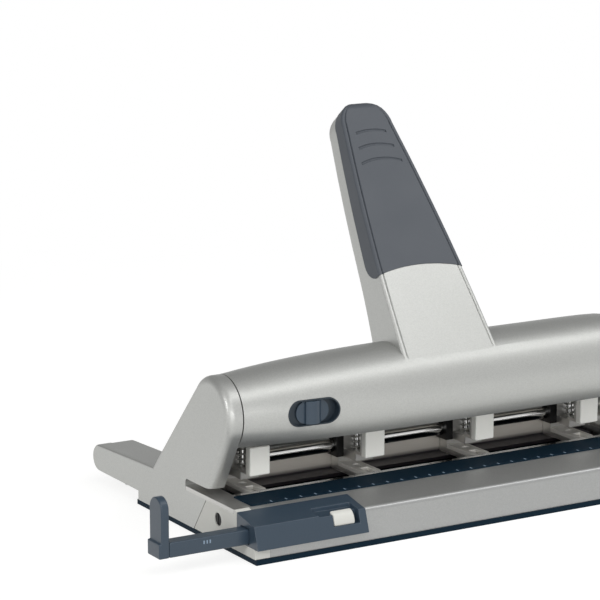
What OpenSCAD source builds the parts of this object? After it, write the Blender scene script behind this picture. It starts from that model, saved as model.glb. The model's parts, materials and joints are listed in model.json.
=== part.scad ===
// Adjustable four-hole desk punch with a central lever, sliding punch units and a paper guide.
// X runs along the punch, Y from the paper side to the back, Z up.
// The origin is on the desk, under the middle of the base. Millimetres and degrees.

/* [Base] */
// Length of the base over both end covers
base_len = 312; // [280:1:345]
// Depth of the base, front to back
base_depth = 147; // [142:1:170]
// Thickness of the mat under the base
mat_h = 3; // [2:0.5:5]
// Height of the base, from the mat to the seat of the paper table
base_h = 21.2; // [19:0.1:28]
// Wall of the hollow base
base_wall = 2.5; // [1.5:0.1:3.2]
// Height of the front edge of the base above its mat
front_h = 19.5; // [17:0.5:20.5]
// Radius of the front's upper edge
front_edge = 3; // [1:0.5:4]
// Width of each end cap along the punch
cap_w = 10; // [9:0.5:12]
// Radius of the soft edge round the nose and slopes of the end caps
cap_edge = 5; // [2:0.5:6]
// Radius of the edge along the foot arms
arm_edge = 1.5; // [0.5:0.5:2]

/* [Rear feet] */
// Where the rear foot arms end, behind the middle of the base
arm_end = 135; // [115:1:160]
// Half the height of a foot arm at its round end
arm_r = 8.5; // [6:0.5:9]
// Height of the foot arms above the desk
arm_lift = 8; // [6:0.5:10]
// Width of a foot arm along the punch
arm_w = 25; // [20:1:32]
// Diameter of the rubber pads under the foot arms
pad_d = 11; // [8:0.5:14]

/* [Paper table] */
// Thickness of the paper table
table_t = 2.5; // [2:0.1:4]
// Height of the slot that the paper goes into
throat = 4.6; // [4.4:0.1:6]
// Where the paper stops, behind the middle of the base
stop_y = 11; // [8:0.5:14]
// Distance from the edge of the paper to the middle of a hole
hole_margin = 12; // [11:0.5:14]
// Depth of the table in front of the paper stop
table_depth = 58.5; // [54:0.5:64]
// Width of the ruler strip on the table
ruler_w = 21; // [12:0.5:21]
// Thickness of the ruler strip
ruler_t = 0.8; // [0.5:0.1:1.5]

/* [Lever] */
// Height of the lever's axis above the paper table
axis_rise = 49.8; // [47:0.1:56]
// Distance from the lever's axis back to the line of the pins, which is also the cam's base radius
cam_arm = 17.5; // [16:0.1:19]
// Distance from the axis down to the cam at rest
cam_drop = 14; // [12:0.5:15]
// Swing of the lever, in degrees
lever_swing = 32; // [20:1:34]
// Radius of the cover at its ends
end_r = 22.6; // [21:0.1:24]
// Radius of the cover in the middle
mid_r = 29.2; // [26:0.1:31]
// How late the cover tapers towards its left end
taper_power = 2.6; // [2:0.1:4]
// How late the cover tapers towards its right end
right_power = 16; // [4:1:24]
// Wall of the cover
cover_wall = 2.2; // [1.6:0.1:2.6]
// How far the cover's front edge lies below the axis
cover_drop = 18.5; // [15:0.5:19]
// Diameter of the pivot pins
pivot_d = 8; // [6:0.5:10]
// Thickness of the plates that close the cover's ends
plate_t = 3; // [2:0.5:4]

/* [Handle] */
// Lean of the handle to the back, in degrees
lean = 37; // [30:0.5:42]
// Distance from the axis to the tip of the handle
handle_reach = 182.5; // [150:0.5:200]
// How far the handle's front face lies within the cover's largest radius
front_inset = 0.7; // [0.4:0.1:3]
// Radius of the handle's round tip, seen from the front
tip_r = 18; // [15:0.5:24]
// Half width of the handle at the axis
root_half = 34; // [28:0.5:38]
// How far the handle's sides bow out
side_bow = 2.2; // [0:0.1:4]
// Distance from the axis to the back face at the tip
back_tip = 7.5; // [5:0.5:9]
// Distance from the axis to the back face at the root, without the flare
back_root = -0.5; // [-2:0.5:4]
// Radius of the handle's front edges
front_soft = 1.5; // [1:0.25:2]
// Radius of the handle's back edges
back_soft = 4; // [2:0.5:7]
// Distance of the seam line on the handle's front from its edge
seam_in = 2.2; // [2:0.1:4]
// Radius of the edge round the handle's tip
tip_soft = 7; // [4:0.5:8]
// Where the soft grip starts, along the handle
grip_start = 66.5; // [58:0.5:90]
// Distance from the axis to the split between the grip and the back of the handle, at the grip's lower end
grip_split = 15.5; // [13:0.5:18]
// How far the grip stands proud of the handle
grip_proud = 0.4; // [0.2:0.1:0.8]

/* [Lock slide] */
// Distance from the left end of the base to the middle of the lock slide
lock_room = 55.5; // [50:0.5:75]
// Length of its oval bezel
lock_len = 34; // [30:1:38]
// Height of its oval bezel
lock_h = 16; // [13:0.5:17]
// Length of the thumb piece
knob_len = 10; // [8:0.5:12]
// Travel of the thumb piece each way
lock_travel = 5; // [3:0.5:5]

/* [Punch units] */
// Distance from the left end of the base to the nearest hole
left_room = 32.5; // [30:0.5:45]
// Distance from the right end of the base to the nearest hole
right_room = 39.5; // [30:0.5:45]
// Diameter of a punch pin
pin_d = 5.5; // [4.5:0.1:6.5]
// Thickness of the upper jaw
jaw_t = 5; // [4:0.5:6]
// Width of a unit's frame
frame_w = 12.4; // [11:0.2:13]
// Diameter of the rod that the units slide on
rod_d = 9.6; // [8:0.2:10]
// Width of a unit's white front block
face_w = 13.7; // [12:0.1:15]
// Height of a unit's white front block
face_h = 17.5; // [14:0.5:18]
// Depth of a unit's white front block
face_t = 5.5; // [4:0.5:7]
// Width of the clip beside a unit's frame
clip_w = 5; // [4:0.5:6]
// Thickness of the die plate
die_t = 2.6; // [2:0.1:3]
// Diameter of the spring wire
wire_d = 0.9; // [0.7:0.1:1.1]
// Turns of a return spring
spring_turns = 7; // [5:1:8]

/* [Paper guide] */
// Length of the guide's housing
housing_len = 74.5; // [66:0.5:90]
// Height of the housing's front face
housing_h = 13.4; // [13:0.1:15]
// Height of the base's strip under the housing, above the mat
housing_lift = 5.9; // [5:0.1:6.4]
// Side of the guide's square bar
bar_w = 9; // [7:0.5:9]
// Length of the bar that shows outside the housing
bar_out = 51; // [42:1:55]
// Length of the bar inside the housing
bar_in = 22.5; // [18:0.5:23]
// Thickness of the stop plate
stop_t = 5; // [3:0.5:7]
// Width of the stop plate
stop_w = 14.5; // [11:0.5:16]
// Height of the stop plate's top above the desk
stop_top = 45; // [38:1:55]

/* [Fits] */
// Radial clearance of pins, bores and slides that fit
fit = 0.05; // [0.03:0.01:0.1]
// Gap between parts that move past each other
gap = 0.3; // [0.25:0.05:0.5]

/* [Hidden] */
$fn = 64;

// Colours
silver = "#c6c8c4";
pale = "#e4e5e1";
slate = "#4b5a68";
navy = "#22303f";
steel = "#a9adb0";
black = "#1d1f21";
rubber = "#2b2d30";
dark_grip = "#4d5660";

// Main levels and lines
half = base_len / 2;
seam_x = half - cap_w;
front_y = -base_depth / 2;
rear_y = base_depth / 2;
pan_top = mat_h + base_h;
table_z = pan_top + table_t;
jaw_z = table_z + throat;
jaw_top = jaw_z + jaw_t;
table_front = stop_y - table_depth;
pin_y = stop_y - hole_margin;
axis_y = pin_y - cam_arm;
axis_z = table_z + axis_rise;
axis = [axis_y, axis_z];
beyond = 1;

// Base outline
front_lean = 2;
pan_inset = 1.5;
open_margin = 4.5;
lip_depth = 26;
lip_step = 2.5;
rail_back = 9;
pan_front = front_y + pan_inset;
pan_rear = rear_y - pan_inset;
front_top = mat_h + front_h;
slope = atan2(table_z - front_top, table_front - pan_front - front_lean);
open_half = seam_x - open_margin;
lip_front = table_front + lip_depth;
open_front = lip_front - lip_step;
rail_y = stop_y + rail_back;
rail_t = 2;

// End cap outline: a round nose with a slope down its back and another down its front
back_slope = 42.3;
nose_slope = 30.3;
seam_back = 10;
seam_foot = stop_y - seam_back;
arm_top = 28;
nose_steps = 42;
arm_steps = 12;
edge_steps = 5;

slot_low = pan_top + beyond;
seam_top = pan_top + beyond / 5;

// Rod, pivots and blind holes for them in the end caps
rod_back = 1;
rod_rise = 6.7;
rod_y = stop_y + rod_back;
rod_z = jaw_z + rod_rise;
rod_seat = 6;
pivot_seat = 7;
pivot_in = 10;

// Lever
seam_gap = 0.8;
cover_half = seam_x - seam_gap;
shaft_half = cover_half - plate_t;
cover_steps = 28;
back_edge = 5;
hub_r = pivot_d / 2 + 3;
panel_t = 2.2;

// Handle
handle_steps = 14;
tip_steps = 9;
tip_turn = 86;
corner_steps = 4;
grip_steps = 8;
grip_fall = 5;
handle_front = mid_r - front_inset;
side_end = handle_reach - tip_r;
back_flare = 10.7;
back_flare_len = 75;
seam_w = 1.2;
seam_depth = 0.9;
seam_least = 0.05;
seam_room = 8;
grip_arc = 110;
split_lean = 0.04;
groove_count = 3;
groove_below = 22;
groove_pitch = 10;
groove_r = 0.9;
groove_out = 0.1;
groove_arc = 40;
groove_half = 11;
groove_grow = 1.9;

// Lock slide
lock_x = lock_room - half;
lock_z = axis_z;
lock_rim = 0.9;
lock_floor = 3.6;
lock_depth = 5.2;
lock_y = axis_y - cover_r(lock_x, 0);
stem_w = 3;
stem_h = 3;
skirt_t = 0.8;
foot_w = 9;
foot_h = 7;
foot_t = 1.5;

// Punch units
hole_pitch = (base_len - left_room - right_room) / 3;
unit_x = [for (i = [0:3]) left_room - half + i * hole_pitch];
column_gap = 0.2;
rail_gap = 0.5;
column_front = stop_y + column_gap;
column_rear = rail_y - rail_gap;
tab_t = 2;
tab_reach = 15;
tab_front = pin_y - tab_reach;
tab_drop = 1;
tab_seat = 0.2;
tab_z = jaw_top - tab_seat;
jaw_reach = 8;
jaw_front = pin_y - jaw_reach;
die_drop = 0.1;
die_top = table_z - die_drop;
die_seat = die_top - die_t;
low_jaw_t = 3.2;
low_jaw_reach = 11;
low_jaw_front = pin_y - low_jaw_reach;
die_gap = 1.5;
die_reach = 7;
die_front = lip_front + die_gap;
finger_w = 3.3;
finger_bevel = 1;
rod_wall = 2.2;
clip_wall = 2.6;
clip_rise = 1;
chip_room = 1;
head_r = 5;
head_t = 3;
head_top = axis_z - cam_drop - gap;
pin_rest = 1;
spring_room = 1.05;
spring_r = pin_d / 2 + spring_room;
spring_low = jaw_top + fit;
spring_high = head_top - head_t - fit;

// Paper guide
housing_proud = 2;
housing_strip = 3;
housing_gap = 0.2;
housing_lean = 4.5;
housing_front = front_y - housing_proud;
housing_right = -half + housing_len;
housing_back = table_front - housing_strip - housing_gap;
housing_depth = housing_back - housing_front;
wall_share = 0.4234;
window_share = 0.5847;
pocket_share = 0.3427;
housing_wall = wall_share * housing_depth;
window_depth = window_share * housing_depth;
pocket_depth = pocket_share * housing_depth;
housing_z = mat_h + housing_lift;
housing_floor = 1.1;
channel_y = housing_front + housing_wall;
channel_z = housing_z + housing_floor;
window_edge = 5;
window_w = 26.4;
window_x = housing_right - window_edge - window_w;
window_rise = 12.7;
pocket_w = 17.5;
pocket_rise = 6.1;
pocket_x = housing_right - window_edge - pocket_w;
pocket_z = housing_z + pocket_rise;
catch_w = 14;
catch_h = 8;
catch_in = 2.4;
catch_steps = 8;
bar_x = -half - bar_out;
stop_foot = 1.5;

// Screws in the base covers
screw_ahead = 27.4;
screw_rise = 13;
screw_y = pin_y - screw_ahead;
screw_z = mat_h + screw_rise;
screw_head_d = 8;
screw_d = 3.5;
screw_sink = 4;
screw_head_t = 3.4;
screw_grip = 5;
screw_slot = 1;

// Cover radius at x, less a depth d
function cover_r(x, d) = end_r - d
    + (mid_r - end_r) * (1 - pow(min(1, abs(x) / cover_half), x < 0 ? taper_power : right_power));

// Points on the end cap's nose, and where its slopes lie at height z
function nose_point(a) = axis + end_r * [cos(a), sin(a)];
function back_at(z) = let (p = nose_point(back_slope)) p[0] + (p[1] - z) * tan(back_slope);
function front_at(z) = let (p = nose_point(180 + nose_slope)) p[0] + (p[1] - z) * tan(nose_slope);

// Point of the seam between an end cap and its base cover at height z
function seam_at(z) = [seam_foot + (front_at(pan_top) - seam_foot) * (z - mat_h) / (pan_top - mat_h), z];

// Point of the cam that presses when the lever has turned by a degrees: an involute
function cam_point(a) = let (p = cam_drop + cam_arm * a * PI / 180)
    [p * sin(a) + cam_arm * cos(a), cam_arm * sin(a) - p * cos(a)];

// Handle outline, measured along the handle from the axis
function handle_half(s) = let (u = s / side_end)
    tip_r + (root_half - tip_r) * (1 - u) + 4 * side_bow * u * (1 - u);
function handle_back(s) = back_root + (back_tip - back_root) * s / handle_reach
    - back_flare * pow(max(0, 1 - s / back_flare_len), 2);

// Extrude an outline drawn in Y and Z from x0 to x1
module along_x(x0, x1) {
    translate([x0, 0, 0]) rotate([90, 0, 90]) linear_extrude(x1 - x0) children();
}

// Extrude an outline drawn in X and Z from y0 to y1
module along_y(y0, y1) {
    translate([0, y1, 0]) rotate([90, 0, 0]) linear_extrude(y1 - y0) children();
}

// Round bar along X
module bar_x_round(x0, x1, y, z, r) {
    translate([x0, y, z]) rotate([0, 90, 0]) cylinder(h = x1 - x0, r = r);
}

// Oval with straight sides, along X
module oval(len, h) {
    square([len - h, h], center = true);
    for (s = [-1, 1]) translate([s * (len - h) / 2, 0]) circle(d = h);
}

// Copy for the right-hand side
module on_side(side) {
    if (side > 0) children();
    else mirror([1, 0, 0]) children();
}

// Base

// Point of the round edge between the slope and the front face, t from 0 to 1
function front_arc(t) = let (
        lean = atan2(front_lean, front_h),
        a = 90 + slope + t * (90 - slope - lean),
        low = front_top - front_edge,
        face = pan_front + front_lean * (low - mat_h) / front_h
    ) [face + front_edge + front_edge * cos(a), low + front_edge * sin(a)];

module base_outline() {
    polygon([
        [pan_rear, mat_h], [pan_rear, pan_top - base_wall], [pan_rear - base_wall, pan_top],
        [table_front, pan_top], [table_front, table_z],
        for (i = [0:edge_steps]) front_arc(i / edge_steps), [pan_front, mat_h]
    ]);
}

module base_hollow() {
    roof = pan_top - base_wall;
    polygon([
        [pan_front + base_wall, mat_h - beyond],
        [pan_front + front_lean + base_wall, front_top - front_edge - base_wall],
        [pan_front + front_lean + front_edge + base_wall, front_top - base_wall],
        [table_front, roof], [pan_rear - base_wall, roof], [pan_rear - base_wall, mat_h - beyond]
    ]);
}

// Room for the guide's housing in the front of the base
module housing_room() {
    translate([-half - beyond, housing_front - beyond, housing_z])
        cube([housing_len + beyond, housing_back + housing_gap - housing_front + beyond, table_z]);
}

module base_mat() {
    lip = base_wall + gap;
    color(navy) {
        translate([-half, front_y, 0]) cube([base_len, base_depth, mat_h]);
        translate([0, 0, mat_h]) difference() {
            translate([-seam_x + lip, pan_front + lip + front_lean, 0])
                cube([2 * (seam_x - lip), pan_rear - pan_front - 2 * lip - front_lean, mat_h]);
            translate([-seam_x + 2 * lip, pan_front + 2 * lip + front_lean, 0])
                cube([2 * (seam_x - 2 * lip), pan_rear - pan_front - 4 * lip - front_lean, mat_h + beyond]);
        }
    }
}

module base_pan() {
    color(silver) difference() {
        along_x(-seam_x, seam_x) base_outline();
        along_x(-seam_x + base_wall, seam_x - base_wall) base_hollow();
        translate([-open_half, open_front, pan_top - 2 * base_wall])
            cube([2 * open_half, rail_y + rail_t - open_front, 3 * base_wall]);
        housing_room();
        for (s = [-1, 1]) on_side(s)
            bar_x_round(seam_x - 2 * base_wall, seam_x + beyond, screw_y, screw_z, screw_d / 2 + fit);
    }
}

// How far an edge of radius r is drawn in at height h of the end cap's soft edge
function edge_in(h, r) = r - sqrt(pow(r, 2) - pow(max(0, h + r - cap_edge), 2));

// Outline of an end cap, with its nose and slopes drawn in by d and its foot arm by e
function cap_ring(d, e) = concat(
    [[seam_foot, mat_h], [pan_rear, mat_h], [pan_rear, arm_lift + e]],
    [for (i = [0:arm_steps]) let (a = 180 * i / arm_steps - 90)
        [arm_end - arm_r, arm_lift + arm_r] + (arm_r - e) * [cos(a), sin(a)]],
    [[back_at(arm_top - e) - d / cos(back_slope), arm_top - e]],
    [for (i = [0:nose_steps]) let (a = back_slope + (180 + nose_slope - back_slope) * i / nose_steps)
        axis + (end_r - d) * [cos(a), sin(a)]],
    [[front_at(slot_low) + d / cos(nose_slope), slot_low], seam_at(seam_top)]
);

// Loft through rings of points, all with as many points, from the first to the last.
// A hub is the number of a point that sees the whole of its ring, for rings that are not convex.
module loft(rings, hub = -1) {
    n = len(rings[0]);
    last = (len(rings) - 1) * n;
    ends = hub < 0 ? [[for (k = [0:n - 1]) k]]
        : [for (k = [1:n - 2]) [hub, (hub + k) % n, (hub + k + 1) % n]];
    polyhedron(
        points = [for (ring = rings) each ring],
        faces = concat(
            ends, [for (end = ends) [for (k = [len(end) - 1:-1:0]) last + end[k]]],
            [for (b = [0:n:last - n], k = [0:n - 1]) [b + k, b + n + k, b + n + (k + 1) % n]],
            [for (b = [0:n:last - n], k = [0:n - 1]) [b + k, b + n + (k + 1) % n, b + (k + 1) % n]]
        )
    );
}

// The column and foot arm of an end cap; its end faces fan out from the corner above the arm
module cap_body() {
    back_corner = arm_steps + 4;
    layers = [for (i = [0:edge_steps]) cap_edge * sin(90 * i / edge_steps)];
    loft(concat(
        [[for (p = cap_ring(0, 0)) [seam_x, p[0], p[1]]]],
        [for (h = layers) [for (p = cap_ring(edge_in(h, cap_edge), edge_in(h, arm_edge)))
            [half - cap_edge + h, p[0], p[1]]]]
    ), back_corner);
}

module end_cap(side) {
    slot_r = throat / 2;
    color(silver) on_side(side) difference() {
        union() {
            cap_body();
            intersection() {
                along_x(half - arm_w, half - cap_edge) polygon(cap_ring(gap, gap));
                translate([0, rear_y + gap, 0]) cube([half, arm_end, axis_z]);
            }
        }
        translate([seam_x - beyond, axis_y - 2 * end_r, pan_top])
            cube([cap_w + 2 * beyond, stop_y - slot_r - axis_y + 2 * end_r, table_t + throat]);
        translate([seam_x - beyond, stop_y - slot_r - beyond, pan_top])
            cube([cap_w + 2 * beyond, slot_r + beyond, table_t + slot_r]);
        bar_x_round(seam_x - beyond, half + beyond, stop_y - slot_r, jaw_z - slot_r, slot_r);
        bar_x_round(seam_x - beyond, seam_x + pivot_seat, axis_y, axis_z, pivot_d / 2 + fit / 2);
        bar_x_round(seam_x - beyond, seam_x + rod_seat, rod_y, rod_z, rod_d / 2 + fit / 2);
    }
}

module left_end_cap() end_cap(-1);
module right_end_cap() end_cap(1);

// Cover over the front of the base's end, up to the seam with the end cap
module base_cover(side) {
    color(pale) difference() {
        on_side(side) difference() {
            along_x(seam_x, half) intersection() {
                base_outline();
                polygon([
                    [front_y, 0], [seam_foot - gap, 0], [seam_foot - gap, mat_h],
                    [front_at(pan_top) - gap, pan_top], [front_at(pan_top) - gap, table_z + beyond],
                    [front_y, table_z + beyond]
                ]);
            }
            bar_x_round(half - screw_sink, half + beyond, screw_y, screw_z, screw_head_d / 2);
            bar_x_round(seam_x - beyond, half, screw_y, screw_z, screw_d / 2 + fit);
        }
        housing_room();
    }
}

module left_base_cover() base_cover(-1);
module right_base_cover() base_cover(1);

module cover_screws() {
    seat = half - screw_sink;
    color(black) for (s = [-1, 1]) on_side(s) difference() {
        union() {
            bar_x_round(seat, seat + screw_head_t, screw_y, screw_z, screw_head_d / 2 - gap);
            bar_x_round(seam_x - screw_grip, seat, screw_y, screw_z, screw_d / 2);
        }
        translate([seat + screw_head_t - screw_slot, screw_y - screw_slot / 2, screw_z - screw_head_d / 2])
            cube([2 * screw_slot, screw_slot, screw_head_d]);
    }
}

module foot_pads() {
    color(rubber) for (s = [-1, 1])
        translate([s * (half - arm_w + pad_d / 2 + 0.5), arm_end - arm_r - pad_d, 0])
            cylinder(h = arm_lift, d = pad_d);
}

// Paper table

module paper_table() {
    color(steel) difference() {
        translate([-half, table_front, pan_top]) cube([base_len, stop_y - gap - table_front, table_t]);
        translate([-open_half, lip_front, pan_top - beyond])
            cube([2 * open_half, stop_y + beyond - lip_front, table_t + 2 * beyond]);
    }
}

module ruler_strip() {
    inset = 12;
    set_back = 0.5;
    color(navy) translate([inset - half, table_front + set_back, table_z])
        cube([base_len - 2 * inset, ruler_w, ruler_t]);
}

module table_edge() {
    edge_w = 4;
    edge_t = 0.5;
    color(steel) translate([-open_half, lip_front - edge_w, table_z]) cube([2 * open_half, edge_w, edge_t]);
}

// Bent rail behind the punch units, with a shelf that their lower jaws slide on
module rear_rail() {
    rail_h = 10;
    foot_w = 9;
    shelf_w = 13;
    shelf_gap = 0.1;
    shelf_z = die_seat - low_jaw_t - shelf_gap - rail_t;
    color(steel) {
        along_x(-seam_x, seam_x) {
            translate([rail_y, pan_top]) square([rail_t, rail_h]);
            translate([rail_y, pan_top]) square([foot_w, rail_t]);
        }
        along_x(gap - open_half, open_half - gap) {
            translate([rail_y, shelf_z]) square([rail_t, pan_top + rail_t - shelf_z]);
            translate([rail_y - shelf_w, shelf_z]) square([shelf_w + rail_t, rail_t]);
        }
    }
}

// Sloped panel behind the lever, clear of the turning cover
module back_panel() {
    inner = end_r - panel_t;
    clear_r = mid_r + 1;
    color(silver) intersection() {
        along_x(-seam_x, seam_x) translate(axis) rotate(back_slope - 90)
            translate([sqrt(pow(clear_r, 2) - pow(inner, 2)), inner]) square([2 * axis_z, panel_t]);
        translate([-half, axis_y, pan_top]) cube([base_len, base_depth, axis_z]);
    }
}

module guide_rod() {
    color(steel) bar_x_round(-seam_x - rod_seat, seam_x + rod_seat, rod_y, rod_z, rod_d / 2);
}

module pivot_pin(side) {
    color(steel) on_side(side)
        bar_x_round(shaft_half - pivot_in, seam_x + pivot_seat, axis_y, axis_z, pivot_d / 2);
}

module left_pivot_pin() pivot_pin(-1);
module right_pivot_pin() pivot_pin(1);

// Lever

// Solid of the cover's barrel, drawn in by d, with ends at a distance from the middle
module barrel(d, end) {
    step = 2 * end / cover_steps;
    translate([0, axis_y, axis_z]) rotate([0, 90, 0]) rotate_extrude() polygon(concat(
        [[0, -end]],
        [for (i = [0:cover_steps]) let (x = i * step - end) [cover_r(x, d), x]],
        [[0, end]]
    ));
}

module in_handle_frame() {
    translate([0, axis_y, axis_z]) rotate([-lean, 0, 0]) children();
}

// Section of the handle at s along it, with its front and sides moved out by e.
// A fine seam runs along each side of its front.
function handle_section(s, e) = let (
        over = max(0, s - handle_reach + tip_soft),
        drawn = tip_soft - sqrt(pow(tip_soft, 2) - pow(over, 2)),
        w = (s > side_end ? sqrt(pow(tip_r, 2) - pow(s - side_end, 2)) : handle_half(s)) + e,
        front = -handle_front - e + drawn,
        back = -handle_back(s) - drawn,
        k = min(1, w / seam_room),
        rf = front_soft * k,
        rb = min(back_soft, 0.8 * w),
        deep = max(seam_least, seam_depth * min(1, (handle_reach - s) / tip_r) * k),
        seam = [[w - seam_in * k, 0], [w - (seam_in + seam_w / 2) * k, deep], [w - (seam_in + seam_w) * k, 0]]
    ) concat(
        soft_corner(-w + rf, front + rf, rf, 180, s),
        [for (p = seam) [-p[0], front + p[1], s]],
        [for (i = [2:-1:0]) [seam[i][0], front + seam[i][1], s]],
        soft_corner(w - rf, front + rf, rf, 270, s),
        soft_corner(w - rb, back - rb, rb, 0, s), soft_corner(-w + rb, back - rb, rb, 90, s)
    );

// Quarter circle of radius r about x and y at height s, from angle a
function soft_corner(x, y, r, a, s) = [for (i = [0:corner_steps])
    [x + r * cos(a + 90 * i / corner_steps), y + r * sin(a + 90 * i / corner_steps), s]];

// The handle, with its front and sides moved out by e
module handle(e) {
    in_handle_frame() loft(concat(
        [for (i = [0:handle_steps]) handle_section(side_end * i / handle_steps, e)],
        [for (i = [1:tip_steps]) handle_section(side_end + tip_r * sin(tip_turn * i / tip_steps), e)]
    ));
}

// Room for the soft grip on the front and sides of the handle, drawn in by c.
// Its lower end is arched across the front, and round at the back of each side.
module grip_room(c) {
    wide = root_half + tip_r;
    deep = handle_front - grip_split;
    turn = grip_start - grip_fall + deep;
    in_handle_frame() intersection() {
        along_y(-wide, -grip_split - c) difference() {
            translate([-wide, 0]) square([2 * wide, 2 * handle_reach]);
            translate([0, grip_start - grip_arc]) circle(r = grip_arc + c, $fn = 180);
        }
        along_x(-wide, wide) polygon([
            [-wide, 2 * handle_reach], [-wide, turn - deep + c],
            for (i = [0:grip_steps]) let (a = 90 * i / grip_steps - 90)
                [-handle_front, turn] + (deep - c) * [cos(a), sin(a)],
            [-grip_split - split_lean * (2 * handle_reach - turn) - c, 2 * handle_reach]
        ]);
    }
}

module lever_cover() {
    far = 3 * mid_r;
    color(silver) difference() {
        union() {
            barrel(0, cover_half);
            handle(0);
        }
        barrel(cover_wall, cover_half);
        for (s = [-1, 1]) on_side(s)
            bar_x_round(cover_half - beyond, cover_half + beyond, axis_y, axis_z, end_r - cover_wall);
        grip_room(0);
        along_y(axis_y - far, axis_y) translate([lock_x, lock_z]) oval(lock_len, lock_h);
        along_x(-half, half) polygon([
            axis + [-far, -cover_drop], axis + [0, -cover_drop], axis,
            axis + far * [cos(back_edge), sin(back_edge)], axis + [far, -far], axis + [-far, -far]
        ]);
    }
}

module handle_grip() {
    color(dark_grip) difference() {
        intersection() {
            handle(grip_proud);
            grip_room(fit);
        }
        in_handle_frame() for (i = [0:groove_count - 1]) let (
                reach = groove_half + i * groove_grow,
                level = handle_reach - groove_below - i * groove_pitch
            )
            translate([0, -handle_front - grip_proud - groove_out, level])
                intersection() {
                    translate([0, 0, -groove_arc]) rotate([90, 0, 0]) rotate_extrude()
                        translate([groove_arc, 0]) circle(r = groove_r);
                    translate([-reach, -groove_arc / 2, -groove_arc / 2])
                        cube([2 * reach, groove_arc, groove_arc]);
                }
    }
}

module cam_shaft() {
    rest_ends = 2;
    color(steel) difference() {
        along_x(-shaft_half, shaft_half) translate(axis) {
            circle(r = hub_r);
            polygon(concat(
                [for (a = [-rest_ends:3:lever_swing + rest_ends]) cam_point(a)],
                [[cam_arm + 3, -cam_drop / 4], [hub_r / 2, hub_r * 0.8], [hub_r * 0.3, -hub_r * 0.9]]
            ));
        }
        for (s = [-1, 1]) on_side(s)
            bar_x_round(shaft_half - pivot_in - beyond, shaft_half + beyond,
                axis_y, axis_z, pivot_d / 2 + fit);
    }
}

module lever_plate(side) {
    color(silver) on_side(side) difference() {
        bar_x_round(shaft_half, cover_half, axis_y, axis_z, end_r - cover_wall - fit);
        bar_x_round(shaft_half - beyond, cover_half + beyond, axis_y, axis_z, pivot_d / 2 + fit);
    }
}

module left_lever_plate() lever_plate(-1);
module right_lever_plate() lever_plate(1);

// Lock slide

module lock_bezel() {
    far = 3 * mid_r;
    slot_len = stem_w + 2 * lock_travel + 2 * gap;
    color(navy) difference() {
        intersection() {
            along_y(axis_y - far, lock_y + lock_depth) translate([lock_x, lock_z])
                oval(lock_len - 2 * fit, lock_h - 2 * fit);
            barrel(-gap, cover_half);
        }
        along_y(axis_y - far, lock_y + lock_floor) translate([lock_x, lock_z])
            oval(lock_len - 2 * lock_rim, lock_h - 2 * lock_rim);
        along_y(lock_y, axis_y) translate([lock_x - slot_len / 2, lock_z - stem_h / 2 - gap])
            square([slot_len, stem_h + 2 * gap]);
    }
}

module lock_slider() {
    knob_h = lock_h - 2 * lock_rim - 2 * gap;
    proud = 0.8;
    crown_r = 7;
    skirt_len = knob_len + 2 * lock_travel + 2;
    back = lock_y + lock_depth + gap;
    color(slate) translate([lock_x, 0, lock_z]) {
        intersection() {
            along_y(lock_y - 2 * proud, lock_y + lock_floor - gap) square([knob_len, knob_h], center = true);
            translate([0, lock_y - proud + crown_r, -knob_h]) cylinder(h = 2 * knob_h, r = crown_r);
        }
        along_y(lock_y + lock_floor - gap - skirt_t, lock_y + lock_floor - gap) oval(skirt_len, knob_h);
        along_y(lock_y + lock_floor - gap, back) square([stem_w, stem_h], center = true);
        along_y(back, back + foot_t) square([foot_w, foot_h], center = true);
    }
}

// Paper guide

module guide_housing() {
    back_top = table_z - (housing_strip + housing_gap) * tan(slope);
    color(slate) difference() {
        along_x(-half, housing_right) polygon([
            [housing_front, housing_z], [housing_back, housing_z], [housing_back, back_top],
            [housing_front + housing_lean, housing_z + housing_h]
        ]);
        translate([-half - beyond, channel_y, channel_z])
            cube([housing_len, bar_w + 2 * gap, bar_w + 2 * gap]);
        translate([window_x, housing_front - beyond, housing_z + window_rise])
            cube([window_w, window_depth + beyond, table_z]);
        translate([pocket_x, housing_front - beyond, pocket_z])
            cube([pocket_w, pocket_depth + beyond, table_z]);
    }
}

module guide_catch() {
    thick = pocket_depth - catch_in;
    color(pale) along_x(pocket_x + gap, pocket_x + gap + catch_w)
        translate([housing_front + pocket_depth, pocket_z]) polygon(concat(
            [[0, 0]],
            [for (i = [0:catch_steps]) let (a = 90 * i / catch_steps) [-thick * cos(a), catch_h * sin(a)]]
        ));
}

module guide_bar() {
    color(slate) translate([bar_x, channel_y + gap, channel_z + gap]) cube([bar_out + bar_in, bar_w, bar_w]);
}

module guide_stop() {
    low = channel_z + gap;
    color(slate) {
        along_x(bar_x - stop_t, bar_x) {
            translate([channel_y + gap, low]) square([stop_w, stop_top - low - stop_w / 2]);
            translate([channel_y + gap + stop_w / 2, stop_top - stop_w / 2]) circle(d = stop_w);
        }
        translate([bar_x - stop_t - stop_foot, channel_y + gap, low]) cube([2 * stop_foot, stop_w, bar_w]);
    }
}

// Punch units

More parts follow.
